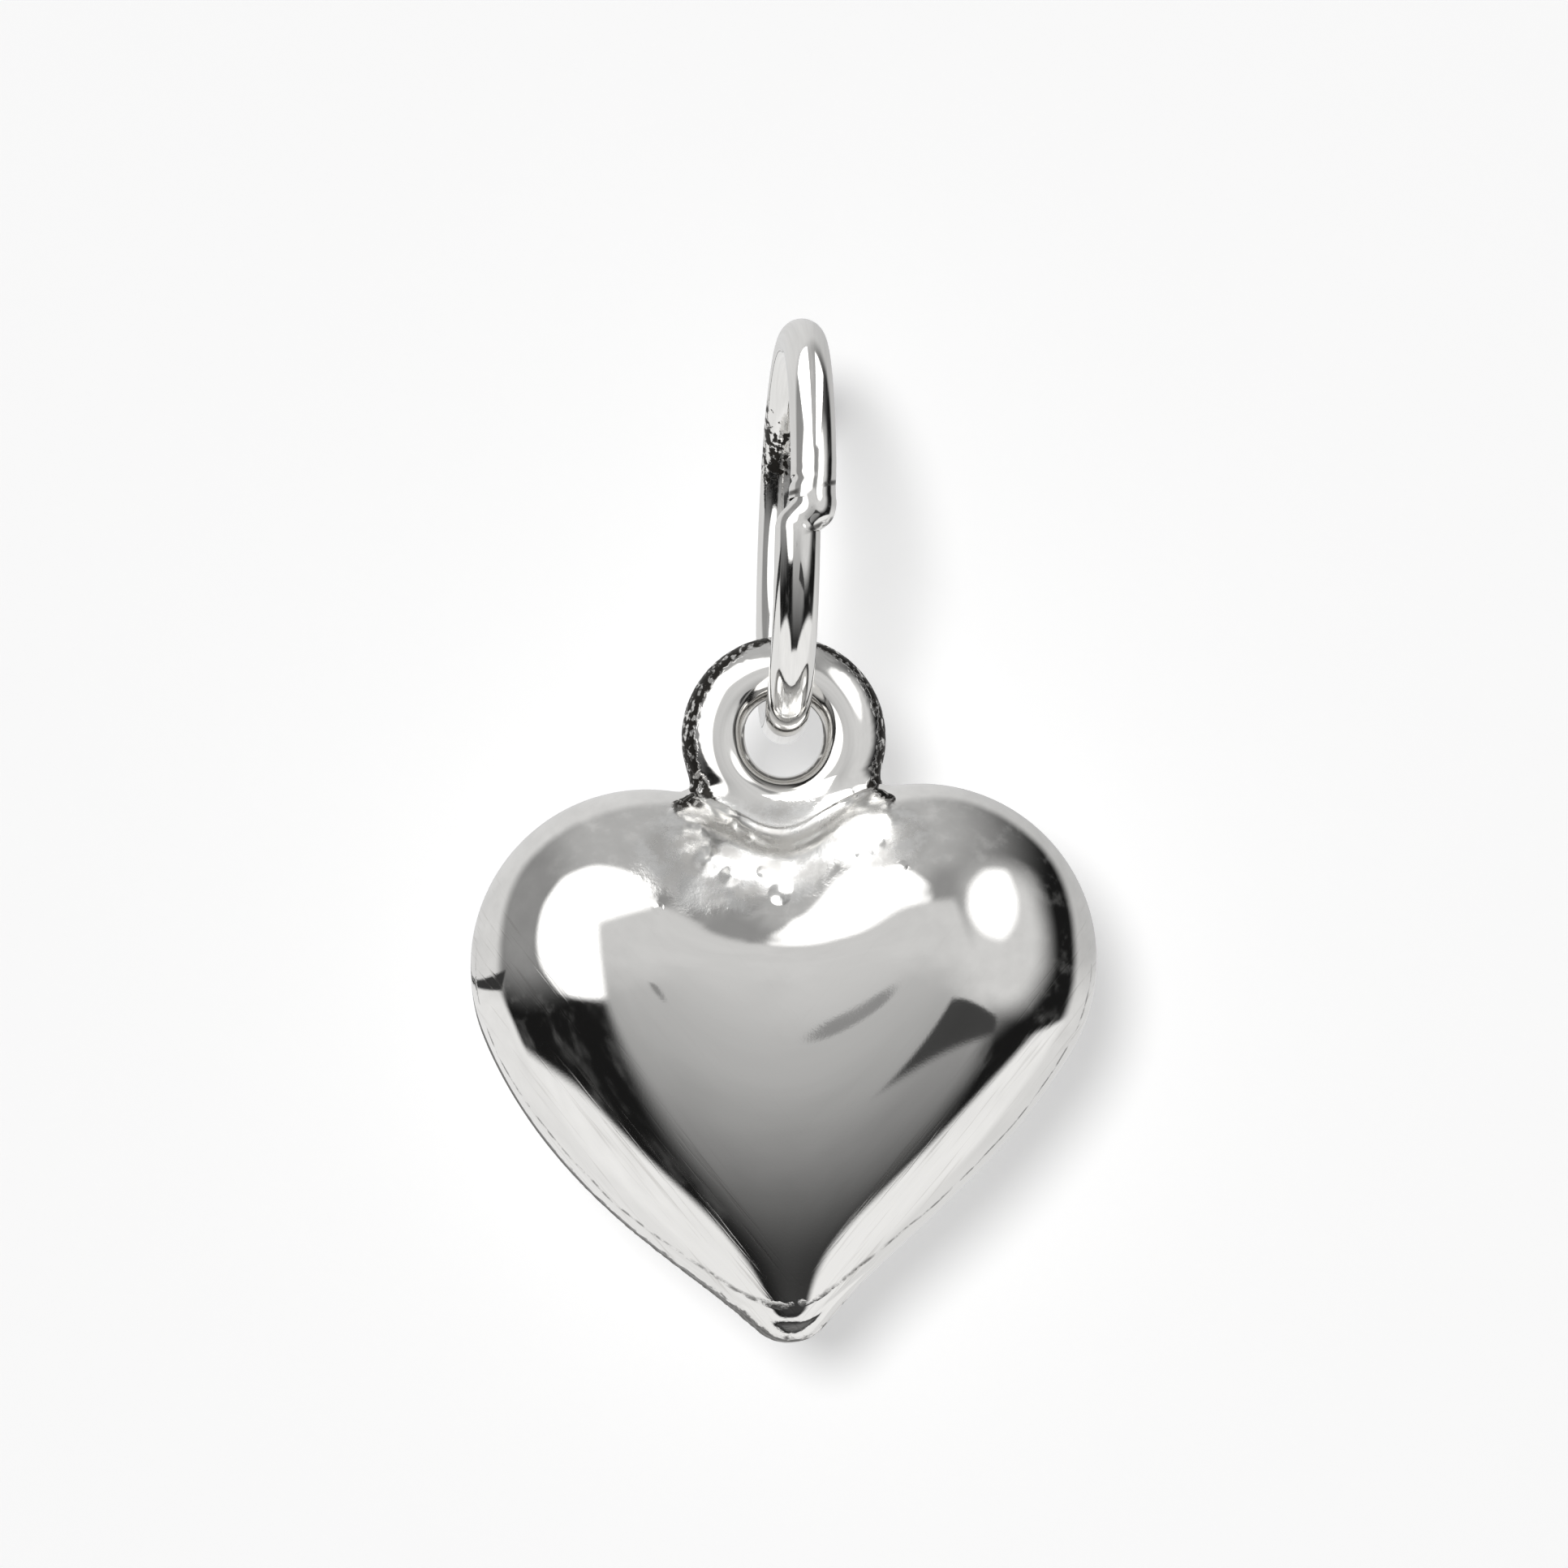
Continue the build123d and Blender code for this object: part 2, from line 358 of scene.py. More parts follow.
def run_into(e, points, normals, distance_to_other):
    """Lifts a skin into the solder fillet where another skin is near, and sinks it beyond the middle.

    With k the fillet's width and s how much further the other skin is than this one, the lift is (k - s)
    squared over 4 k, and beyond the middle it curves back down inside the metal. It is found by halving.
    """
    k = fillet_width(e, points)
    low, high = (np.full(len(points), end) for end in LIFT_RANGE)
    for _ in range(LIFT_HALVINGS):
        lift = (low + high) / 2
        s = distance_to_other(points + normals * lift[:, None]) - lift
        rise = np.where(s > 0, np.maximum(k - s, 0) ** 2 / (4 * k), k / 4 - s / 2 - 1.5 * s * s / k)
        under = lift < rise
        low = np.where(under, lift, low)
        high = np.where(under, high, lift)
    return points + normals * lift[:, None]


def ripple(x, z, size):
    """Uneven ripples between -1 and 1: six crossed sine waves of about one size."""
    total = 0 * x
    for turn, stretch, shift in WAVES:
        wave = 2 * pi * stretch / size
        bent = 1.5 * np.sin(wave * 0.37 * (z - x))
        total = total + np.sin(wave * (x * cos(turn) + z * sin(turn)) + shift + bent)
    return total / len(WAVES)


def heart_relief(x, y, z):
    """Low relief of the heart's skin, outwards, at places about the lobes' centres.

    Fine grooves run beside the rim where the stamped halves are soldered, doubled under the tip. The rear
    half stands out a little on the lower left flank and its edge is uneven there. Splashed solder makes the
    slopes beside the cleft uneven.
    """
    front = -y
    low = ramp_mm(z, 0.1, -1.3)
    left = ramp_mm(x, 0.3, -0.5)
    tip = ramp_mm(z, -5.0, -5.7)
    wander = 0.03 * MM * ripple(x, z, 1.4 * MM)
    relief = -0.018 * MM * low * (1 - 0.5 * left) * bell((front - 0.42 * MM + wander) / (0.045 * MM))
    relief = relief - 0.020 * MM * tip * bell_mm(front, 0.16, 0.04)
    lip = low * left * ramp_mm(front, 0.06, -0.03) * ramp_mm(front, -0.6, -0.3)
    relief = relief + 0.035 * MM * lip
    flaky = left * ramp_mm(z, -3.0, -3.6) * bell_mm(front, 0.12, 0.22)
    relief = relief + 0.014 * MM * flaky * ripple(x + 0.6 * y, z - 0.4 * y, 0.17 * MM)
    splash = bell_mm(x, -0.75, 0.75) * bell_mm(z, 1.25, 0.55) * (front > 0)
    relief = relief + 0.011 * MM * splash * ripple(x, z, 0.42 * MM)
    specks = bell_mm(x, 0.95, 0.5) * bell_mm(z, 1.75, 0.35) * (front > 0)
    relief = relief + 0.006 * MM * specks * ripple(x, z, 0.30 * MM)
    return relief


def drop_caps(e, points):
    """Height of the spattered drops of solder on the front.

    A drop's cap is its full height times the power 1.5 of one less the squared distance from its middle, in
    shares of its radius.
    """
    height = 0 * points[:, 0]
    for x, z, radius in SOLDER_DROPS:
        across = points[:, 0] + e.centre_x - x * MM
        along = points[:, 2] + e.centre_z - e.above_lobes - z * MM
        inside = np.maximum(1 - (across**2 + along**2) / (radius * MM) ** 2, 0)
        height = np.maximum(height, DROP_HEIGHT * radius * MM * inside**1.5)
    return height * (points[:, 1] < 0)


def heart_skin(h, e):
    """Closed skin of the heart about the lobes' centres, as points and faces.

    Two parameters: the angle of a ray from a pole in front of the belly, and the tilt from the pole to the
    rim. The reach along a ray is sin(tilt) times a radius that goes from a circle to the outline, and the
    height over the middle plane is the puff times the root of the form's squared height. The rear half is the
    mirror image but for its relief, and both run into the eyelet.
    """
    rays, steps = h.rays, h.steps
    around = 2 * pi * (np.arange(rays) / rays)
    turn = -pi / 2 + around - RAY_CROWDING * np.sin(around)
    crowded = 1 - (1 - np.arange(steps) / (steps - 1)) ** RIM_CROWDING
    tilt = pi / 2 * (FIRST_TILT + (1 - FIRST_TILT) * crowded)[:, None]
    step = np.sin(tilt)
    reach = step * (h.pole_reach + (outline_reach(h, turn) - h.pole_reach) * step**2)
    x = np.append(0.0, reach * np.cos(turn))
    z = np.append(0.0, reach * np.sin(turn)) - h.pole_drop
    height, first, second = puff_squared(h, x, z)
    y = h.puff * np.sqrt(np.maximum(height, 0))
    y[-rays:] = 0
    front = np.stack([x, -y, z], axis=-1)
    front_normals = unit(np.stack([-first, 2 * -y / h.puff**2, -second], axis=-1))
    rim_start = 1 + rays * (steps - 1)
    mirror = np.array([1, -1, 1])
    points = np.vstack([front, front[:rim_start] * mirror])
    normals = np.vstack([front_normals, front_normals[:rim_start] * mirror])
    points = points + normals * heart_relief(*points.T)[:, None]

    grid = quad_strip(steps, rays, first=1)
    fan = np.stack([np.zeros(rays, int), 1 + np.arange(rays), 1 + (np.arange(rays) + 1) % rays], axis=-1)
    back_of = lambda index: np.where(index < rim_start, index + len(front), index)
    faces = fan.tolist() + grid[:, ::-1].tolist() + back_of(fan[:, ::-1]).tolist() + back_of(grid).tolist()
    points = turned(points, "Y", -h.roll)
    normals = turned(normals, "Y", -h.roll)

    points = points + normals * drop_caps(e, points)[:, None]
    near = distance_to_eyelet(e, points) < FILLET_REACH
    points[near] = run_into(e, points[near], normals[near], lambda p: distance_to_eyelet(e, p))
    return points, faces


def eyelet_skin(h, e):
    """Closed skin of the eyelet about the lobes' centres: a circle carried round a circle.

    Its crown, front and back, lies a little inside the circle's middle, and the lower part of the hole is
    filled a little. The outer side gets a low grit.
    """
    around = 2 * pi * np.arange(e.rings) / e.rings
    across = 2 * pi * np.arange(e.sides) / e.sides
    around, across = np.meshgrid(around, across, indexing="ij")
    outward = np.stack([np.cos(around), 0 * around, np.sin(around)], axis=-1)
    spoke = outward * np.cos(across)[..., None] + np.array([0, -1, 0]) * np.sin(across)[..., None]
    shift = -e.crown * np.sin(across) ** 2
    slope = -2 * e.crown * np.sin(across) * np.cos(across)
    points = outward * (e.mean_radius + shift)[..., None] + spoke * e.wire / 2
    closing = e.hole_fill * edge_ramp(-np.sin(around), -0.6, 0.2) * edge_ramp(-np.cos(across), 0.2, 0.9)
    points = points - outward * closing[..., None]
    forward = np.array([0, -1, 0]) * np.cos(across)[..., None] - outward * np.sin(across)[..., None]
    along = forward * e.wire / 2 + outward * slope[..., None]
    normals = unit(np.cross(along, np.cross(outward, [0, 1, 0])))
    normals = normals * np.sign((normals * (points - outward * e.mean_radius)).sum(-1, keepdims=True))
    points[..., 2] += e.above_lobes
    rough = edge_ramp(np.cos(across), 0.35, 0.85) * (0.35 + 0.65 * ramp_mm(-points[..., 0], 0.2, 1.2))
    grit = ripple(points[..., 0] + points[..., 1], points[..., 2] - points[..., 1], 0.16 * MM)
    points = points + normals * (0.005 * MM * rough * grit)[..., None]
    points, normals = points.reshape(-1, 3), normals.reshape(-1, 3)
    near = distance_to_heart(h, points) < FILLET_REACH
    points[near] = run_into(e, points[near], normals[near], lambda p: distance_to_heart(h, p))
    return points, quad_strip(e.rings, e.sides, close_rows=True)[:, ::-1].tolist()


# ---------------------------------------------------------------- ring form

def ring_skin(r):
    """Closed skin of the jump ring: a round section carried along one turn of a very flat helix.

    The wire steps sideways over the turn and comes back over the soldered joint in a smooth S. There the
    section's radius swells with the solder, and low bells and ramps along the wire are added to it, each on
    its own side of the wire: a notch, a shoulder, a taper, a neck, a bead, a knob and a crease.
    """
    t = 2 * pi * (np.arange(r.rings) + 0.5) / r.rings
    t = t - JOINT_CROWDING * np.sin(t)
    signed = np.where(t < pi, t, t - 2 * pi)
    helix = r.end_step * (t / (2 * pi) - 0.5)
    stepped = ramp_mm(signed * r.mean_radius, 0.0, JOINT_STEP)
    side = helix + r.end_step * np.where(signed > 0, 1 - stepped, -stepped)
    turn = t - r.joint_height
    path = np.stack([side, -r.mean_radius * np.cos(turn), -r.mean_radius * np.sin(turn)], axis=-1)
    along = unit(np.roll(path, -1, 0) - np.roll(path, 1, 0))
    outward = unit(path * np.array([0, 1, 1]))
    outward = unit(outward - along * (outward * along).sum(-1, keepdims=True))
    sideways = np.cross(along, outward)
    across = 2 * pi * np.arange(r.sides) / r.sides - pi
    a, c = np.meshgrid(signed * r.mean_radius, across, indexing="ij")
    left = (1 + np.sin(c)) / 2
    half = r.mean_radius * r.joint_span / 2
    swell = r.solder_swell * edge_ramp(a, -half - 0.15 * MM, -half + 0.2 * MM)
    swell = swell * edge_ramp(a, half, half - 0.3 * MM)
    notch = -0.035 * MM * left**4 * bell_mm(a, -0.31, 0.06)
    shoulder = -0.05 * MM * left**3 * bell_mm(a, 0.24, 0.10)
    taper = -0.045 * MM * (1 - left) ** 2 * ramp_mm(a, -0.60, -0.05) * ramp_mm(a, 0.42, 0.2)
    neck = -0.010 * MM * bell_mm(a, -0.24, 0.09) * (1 - 0.5 * left)
    bead = 0.020 * MM * bell_mm(a, -0.02, 0.17) * bell((c - 0.55) / 0.8)
    knob = 0.034 * MM * bell_mm(a, 0.12, 0.12) * (1 - left) ** 2
    crease = -0.018 * MM * bell_mm(a, 0.33, 0.08) * (1 - 0.5 * left)
    radius = r.wire / 2 + swell + notch + shoulder + taper + neck + bead + knob + crease
    normals = outward[:, None] * np.cos(c)[..., None] + sideways[:, None] * np.sin(c)[..., None]
    points = (path[:, None] + normals * radius[..., None]).reshape(-1, 3)
    return turned(turned(points, "Y", r.lean), "Z", r.yaw)


def ring_place(r):
    """The ring's centre: the wire's middle is over the origin at the top of the opening."""
    turn = radians(RING_TOP) - r.joint_height
    side = r.end_step * (RING_TOP / 360 - 0.5)
    top = np.array([[side, -r.mean_radius * cos(turn), -r.mean_radius * sin(turn)]])
    top = turned(turned(top, "Y", r.lean), "Z", r.yaw)
    return np.array([-top[0, 0], 0, -(r.mean_radius - r.wire / 2)])


# ---------------------------------------------------------------- node helpers

class Wiring:
    """Short ways to place and join shader nodes in one tree."""

    def __init__(self, tree):
        self.tree = tree
        self.column = 0

    def node(self, kind, joined=(), **settings):
        """A node with its settings, whose inputs, by name or number, are joined to sockets or values."""
        placed = self.tree.nodes.new(kind)
        placed.location = (self.column * 170, -(self.column % 5) * 120)
        self.column += 1
        for name, value in settings.items():
            setattr(placed, name, value)
        for name, source in dict(joined).items():
            self.join(source, placed.inputs[name])
        return placed

    def join(self, source, socket):
        """Links a socket to another, or sets its own value."""
        if isinstance(source, (int, float)):
            socket.default_value = source
        elif isinstance(source, (tuple, list)):
            socket.default_value = tuple(source)
        else:
            self.tree.links.new(source, socket)

    def maths(self, operation, *values, clamp=False):
        placed = self.node("ShaderNodeMath", enumerate(values), operation=operation, use_clamp=clamp)
        return placed.outputs[0]

    def chain(self, operation, values, *more):
        """Values joined one after another by one operation."""
        total = values[0]
        for value in values[1:]:
            total = self.maths(operation, total, value, *more)
        return total

    def times(self, *values):
        return self.chain("MULTIPLY", values)

    def plus(self, first, second):
        return self.maths("ADD", first, second)

    def minus(self, first, second):
        return self.maths("SUBTRACT", first, second)

    def apart(self, first, second):
        """Distance between two numbers."""
        return self.maths("ABSOLUTE", self.minus(first, second))

    def squares(self, first, second):
        """Sum of two squares."""
        return self.plus(self.times(first, first), self.times(second, second))

    def measure(self, operation, first, second):
        """Distance or dot product of two vectors."""
        return self.node("ShaderNodeVectorMath", {0: first, 1: second}, operation=operation).outputs["Value"]

    def split(self, vector):
        return self.node("ShaderNodeSeparateXYZ", {0: vector}).outputs

    def combine(self, x, y, z):
        return self.node("ShaderNodeCombineXYZ", {0: x, 1: y, 2: z}).outputs[0]

    def noise(self, place, scale, **settings):
        """Noise of one fineness, a number about a half."""
        return self.node("ShaderNodeTexNoise", {"Vector": place, "Scale": scale, **settings}).outputs[0]

    def mix(self, mask, first, second, kind="RGBA", ends="Color"):
        """Colour mixed from first to second by the mask."""
        placed = self.node("ShaderNodeMix", data_type=kind)
        for value, name in ((mask, "Factor_Float"), (first, "A_" + ends), (second, "B_" + ends)):
            self.join(value, next(s for s in placed.inputs if s.identifier == name))
        return next(s for s in placed.outputs if s.identifier == "Result_" + ends)

    def blend(self, mask, first, second):
        """Number mixed from first to second by the mask."""
        return self.mix(mask, first, second, "FLOAT", "Float")

    def smooth(self, value, start, end):
        """Zero at start rising smoothly to one at end."""
        joined = {"Value": value, "From Min": start, "From Max": end}
        return self.node("ShaderNodeMapRange", joined, interpolation_type="SMOOTHSTEP").outputs[0]

    def smooth_mm(self, value, start, end):
        """smooth between a start and an end in millimetres."""
        return self.smooth(value, start * MM, end * MM)

    def group(self, name, place, **values):
        """Outputs of a node group laid over a place."""
        tree = bpy.data.node_groups[name]
        return self.node("ShaderNodeGroup", {"Vector": place, **values}, node_tree=tree).outputs

    def bump(self, height, strength, depth, under=None):
        """Normal of a relief, laid over another normal where one is given."""
        joined = {"Height": height, "Strength": strength, "Distance": depth}
        if under is not None:
            joined["Normal"] = under
        return self.node("ShaderNodeBump", joined).outputs[0]

    def pick(self, mask, first, second):
        """Shader mixed from first to second by the mask."""
        joined = {0: mask, 1: first.outputs[0], 2: second.outputs[0]}
        return self.node("ShaderNodeMixShader", joined).outputs[0]


def new_group(name, outputs, **inputs):
    """An empty shader node group that takes Vector and other inputs and gives numbers.

    Gives its wiring, the sockets that its inputs come from and the sockets that its outputs go to.
    """
    group = bpy.data.node_groups.new(name, "ShaderNodeTree")
    for socket, kind in {"Vector": "NodeSocketVector", **inputs}.items():
        group.interface.new_socket(socket, in_out="INPUT", socket_type=kind)
    for socket in outputs:
        group.interface.new_socket(socket, in_out="OUTPUT", socket_type="NodeSocketFloat")
    w = Wiring(group)
    return w, w.node("NodeGroupInput").outputs, w.node("NodeGroupOutput").inputs


def new_material(name):
    """A material with its wiring, its Principled shader and its Object coordinates."""
    material = bpy.data.materials.new(name)
    material.use_nodes = True
    w = Wiring(material.node_tree)
    place = w.node("ShaderNodeTexCoord").outputs["Object"]
    return material, w, material.node_tree.nodes["Principled BSDF"], place


# ---------------------------------------------------------------- silver

def handling_marks_group():
    """Fine scratches that run down both flanks, a slow unevenness of the polish and a fine grain.

    The scratches are noise stretched along a slanting line and folded from one flank to the other. They are
    full only where the heart's flanks lie, out beyond a slanting plane.
    """
    w, given, made = new_group("handling_marks", ("Mask", "Height", "Cloud"), Amount="NodeSocketFloat")
    x, y, z = w.split(given["Vector"])
    folded = w.combine(w.maths("ABSOLUTE", x), y, z)
    slanting = {"Vector": folded, "Rotation": (0, -0.9, 0), "Scale": (2.2, 1.0, 0.07)}
    stretched = w.node("ShaderNodeMapping", slanting, vector_type="TEXTURE").outputs[0]
    outward = w.measure("DOT_PRODUCT", folded, (0.78, 0, -0.62))
    flank = w.blend(w.smooth_mm(outward, 8.8, 9.4), 0.06, 1.0)
    mask = w.times(w.smooth(w.noise(stretched, 1100.0, Detail=4.0), 0.56, 0.74), flank)
    grain = w.noise(given["Vector"], 26000.0)
    w.join(w.times(mask, given["Amount"]), made["Mask"])
    w.join(w.minus(w.times(grain, 0.4), mask), made["Height"])
    w.join(w.noise(given["Vector"], 700.0, Detail=2.0), made["Cloud"])


def solder_spatter_group():
    """Mottled metal round the cleft where the solder ran and spattered.

    A zone is an oval whose edge the mottle moves, and a drop is a cap: one less its distance squared.
    """
    w, given, made = new_group("solder_spatter", ("Zone", "Mottle", "Drops", "Height"))
    x, _, z = w.split(given["Vector"])
    mottle = w.noise(given["Vector"], 2300.0, Detail=5.0, Roughness=0.62)
    zones = []
    for middle_x, middle_z, half_width, half_height in SOLDER_ZONES:
        across = w.times(w.minus(x, middle_x * MM), 1 / (half_width * MM))
        along = w.times(w.minus(z, middle_z * MM), 1 / (half_height * MM))
        away = w.squares(across, along)
        zones.append(w.smooth(w.maths("MULTIPLY_ADD", mottle, -1.3, away), 0.75, 0.05))
    zone = w.chain("MAXIMUM", zones)
    place = w.combine(x, 0.0, z)
    caps = []
    for drop_x, drop_z, radius in SOLDER_DROPS:
        away = w.times(w.measure("DISTANCE", place, (drop_x * MM, 0, drop_z * MM)), 1 / (radius * MM))
        caps.append(w.maths("MULTIPLY_ADD", w.times(away, away), -1.0, 1.0, clamp=True))
    drops = w.chain("MAXIMUM", caps)
    w.join(zone, made["Zone"])
    w.join(w.smooth(mottle, 0.38, 0.62), made["Mottle"])
    w.join(drops, made["Drops"])
    w.join(w.plus(w.times(mottle, zone, 0.35), w.times(drops, 0.3)), made["Height"])


def tarnished_seam_group():
    """Thin dark lines where the heart's two halves are soldered, on its lower half.

    One runs along the rim, wide and flaky at the lower left, and one wanders along a groove in front of it.
    """
    w, given, made = new_group("tarnished_seam", ("Mask", "Height"))
    x, y, z = w.split(given["Vector"])
    grit = w.noise(given["Vector"], 3800.0, Detail=5.0, Roughness=0.6)
    wander = w.noise(given["Vector"], 420.0)
    from_rim = w.maths("ABSOLUTE", y)
    low = w.smooth_mm(z, -9.2, -10.6)
    left = w.smooth_mm(x, 0.6, -0.6)
    flaky = w.times(left, w.smooth_mm(z, -11.6, -12.8), low)
    reach = w.blend(flaky, w.blend(w.times(low, left), 0.08, 0.16), 0.28)
    reach = w.times(w.plus(reach, w.maths("MULTIPLY_ADD", grit, 0.5, -0.25)), MM)
    rim = w.times(w.smooth_mm(w.minus(reach, from_rim), -0.02, 0.06), w.blend(low, 0.25, 0.85))
    groove_place = w.maths("MULTIPLY_ADD", wander, 0.40 * MM, 0.42 * MM)
    groove = w.smooth_mm(w.apart(w.times(y, -1.0), groove_place), 0.05, 0.0)
    groove = w.times(groove, w.times(low, w.smooth(grit, 0.40, 0.60)))
    w.join(w.maths("MAXIMUM", rim, w.times(groove, 0.75)), made["Mask"])
    height = w.times(w.maths("MAXIMUM", flaky, 0.15), grit, w.smooth_mm(from_rim, 0.55, 0.25))
    w.join(w.minus(height, w.times(groove, 0.4)), made["Height"])


def eyelet_painted_shade_group(e):
    """Painted shade on the eyelet: a gritty dark band on its outer edge standing in for the dark reflection
    there, a fine painted shade line round its hole, and the hole's bore.

    The grit's band is wider at the left.
    """
    w, given, made = new_group("eyelet_painted_shade", ("Mask", "Height", "Bore"))
    centre = (e.centre_x, 0, e.centre_z)
    from_centre = w.node("ShaderNodeVectorMath", {0: given["Vector"], 1: centre}, operation="SUBTRACT")
    x, _, z = w.split(from_centre.outputs[0])
    radius = w.maths("SQRT", w.squares(x, z))
    grit = w.noise(given["Vector"], 9000.0, Detail=4.0)
    # Painted shade: a gritty dark band on the outer edge for its dark reflection, and a thin dark line round
    # the hole's inner edge
    start = w.blend(w.smooth_mm(x, -0.3, -1.3), 1.53 * MM, 1.42 * MM)
    uneven = w.maths("MULTIPLY_ADD", grit, 0.20 * MM, w.minus(radius, 0.10 * MM))
    edge = w.times(w.smooth_mm(w.minus(uneven, start), -0.02, 0.05), w.smooth(grit, 0.36, 0.50))
    line = w.times(w.smooth_mm(w.apart(radius, 0.665 * MM), 0.030, 0.012), w.smooth(grit, 0.30, 0.50))
    mask = w.times(w.maths("MAXIMUM", edge, w.times(line, 0.85)), w.smooth_mm(z, -1.5, -1.1))
    w.join(mask, made["Mask"])
    w.join(w.times(grit, edge), made["Height"])
    w.join(w.smooth_mm(radius, 0.76, 0.69), made["Bore"])


def wire_specks_and_painted_shade_group():
    """Dark specks on the ring's rear leg, and thin lines of painted shade in the creases over and under the
    soldered bead in front.
    """
    w, given, made = new_group("wire_specks_and_painted_shade", ("Mask", "Height"))
    x, y, z = w.split(given["Vector"])
    grit = w.noise(given["Vector"], 7000.0, Detail=4.0)
    band = w.times(w.smooth_mm(z, -2.40, -1.55), w.smooth_mm(z, 0.10, -0.70), w.smooth_mm(y, 1.6, 2.3))
    specks = w.smooth(w.maths("MULTIPLY_ADD", band, 0.35, grit), 0.80, 0.86)
    # Painted shade: thin dark lines in the creases over and under the soldered bead
    over = w.apart(w.maths("MULTIPLY_ADD", x, -0.25, z), -2.20 * MM)
    under = w.apart(w.maths("MULTIPLY_ADD", x, -0.45, z), -2.88 * MM)
    over = w.times(w.smooth_mm(over, 0.06, 0.015), w.smooth_mm(w.apart(x, 0.15 * MM), 0.10, 0.25))
    under = w.times(w.smooth_mm(under, 0.07, 0.02), w.smooth_mm(x, 0.0, 0.25))
    painted_crease_shade = w.times(w.maths("MAXIMUM", over, under), w.smooth(grit, 0.30, 0.48), w.smooth_mm(y, -2.8, -3.1))
    w.join(w.maths("MAXIMUM", specks, w.times(painted_crease_shade, 0.85)), made["Mask"])
    w.join(w.times(grit, band), made["Height"])


# Strength and depth in metres of each relief
MARKS_RELIEF = (0.2, 2e-6)
SOLDER_RELIEF = (1.0, 1.8e-5)
# Each group of tarnish and painted shade, with its roughness and its relief: tarnish on the heart's seam,
# painted shade on the eyelet's edges, specks and painted shade on the ring
TARNISH_AND_PAINTED_SHADE = {
    "tarnished_seam": (0.35, (0.8, 2.5e-5)),
    "wire_specks_and_painted_shade": (0.40, (0.6, 1.5e-5)),
    "eyelet_painted_shade": (0.45, (0.6, 2e-5)),
}
SOLDER_TONES = ((0.66, 0.65, 0.63, 1), (0.97, 0.97, 0.96, 1))   # of the mottle's dark and pale metal
SOLDER_ROUGHNESS = (0.34, 0.20)   # of the same two
DROP_ROUGHNESS = 0.24
BORE_ROUGHNESS = 0.30


def silver_material(name, look, scratches, roughness, tarnish_and_shade_group, spatter=False):
    """Polished silver with fine handling marks and one group of dark marks from the table of tarnish and
    painted shade, and with spattered solder where asked.

    Reads Object coordinates.
    """
    _, w, shader, place = new_material(name)
    clean, dulled, tarnish_and_painted_shade = (tuple(tone) + (1,) for tone in (look.clean, look.dulled, look.tarnish_and_painted_shade))
    marks = w.group("handling_marks", place, Amount=scratches)
    colour = w.mix(marks["Mask"], clean, dulled)
    rough = w.maths("MULTIPLY_ADD", marks["Cloud"], 0.05, roughness - 0.02)
    rough = w.maths("MULTIPLY_ADD", marks["Mask"], 0.25, rough)
    normal = w.bump(marks["Height"], *MARKS_RELIEF)
    if spatter:
        solder = w.group("solder_spatter", place)
        mottled = w.mix(solder["Mottle"], *SOLDER_TONES)
        colour = w.mix(w.times(solder["Zone"], 0.8), colour, mottled)
        dull = w.blend(solder["Drops"], w.blend(solder["Mottle"], *SOLDER_ROUGHNESS), DROP_ROUGHNESS)
        rough = w.blend(solder["Zone"], rough, dull)
        normal = w.bump(solder["Height"], *SOLDER_RELIEF, normal)
    matt, relief = TARNISH_AND_PAINTED_SHADE[tarnish_and_shade_group]
    traces = w.group(tarnish_and_shade_group, place)
    # The group's mask darkens the metal: tarnish on the heart's seam, painted shade on the eyelet's edges and
    # by the ring's bead, and dark specks on the ring.
    colour = w.mix(traces["Mask"], colour, tarnish_and_painted_shade)
    if "Bore" in traces:
        rough = w.blend(traces["Bore"], rough, BORE_ROUGHNESS)
    rough = w.blend(traces["Mask"], rough, matt)
    normal = w.bump(traces["Height"], *relief, normal)
    shader.inputs["Metallic"].default_value = 1.0
    for source, socket in ((colour, "Base Color"), (rough, "Roughness"), (normal, "Normal")):
        w.join(source, shader.inputs[socket])


# ---------------------------------------------------------------- studio

